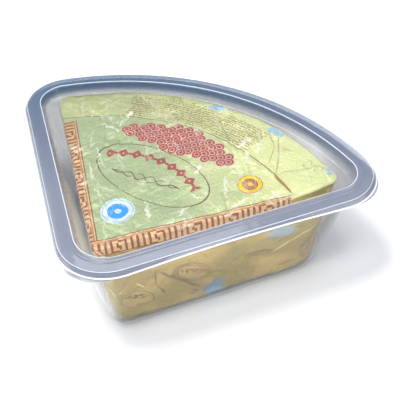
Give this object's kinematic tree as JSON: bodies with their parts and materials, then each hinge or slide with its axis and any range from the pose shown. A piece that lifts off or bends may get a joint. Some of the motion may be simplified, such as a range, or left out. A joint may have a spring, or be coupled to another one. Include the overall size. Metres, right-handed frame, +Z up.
{
  "type": "gorgonzola wedge",
  "caption": "Foil-wrapped wedge of blue cheese in a clear quarter-round tub with a recessed press-fit lid, printed green and gold foil with a meander border",
  "frame": {"origin": "centre of the bounding box, on the surface that the tub stands on", "axes": "Z up; the wedge's right angle points to -X -Y, its front straight side runs along X and faces -Y, its left straight side runs along Y and faces -X, and its curved side faces +X +Y"},
  "size_m": [0.193, 0.193, 0.0773],
  "materials": {
    "tub": "clear thermoformed plastic sheet, slightly bluish",
    "lid": "clear thermoformed plastic sheet, slightly bluish",
    "foil_wedge": "thin printed aluminium foil, creased and folded"
  },
  "bodies": {
    "root": {"tub": "tub", "lid": "lid", "foil_wedge": "foil_wedge"}
  },
  "joints": []
}
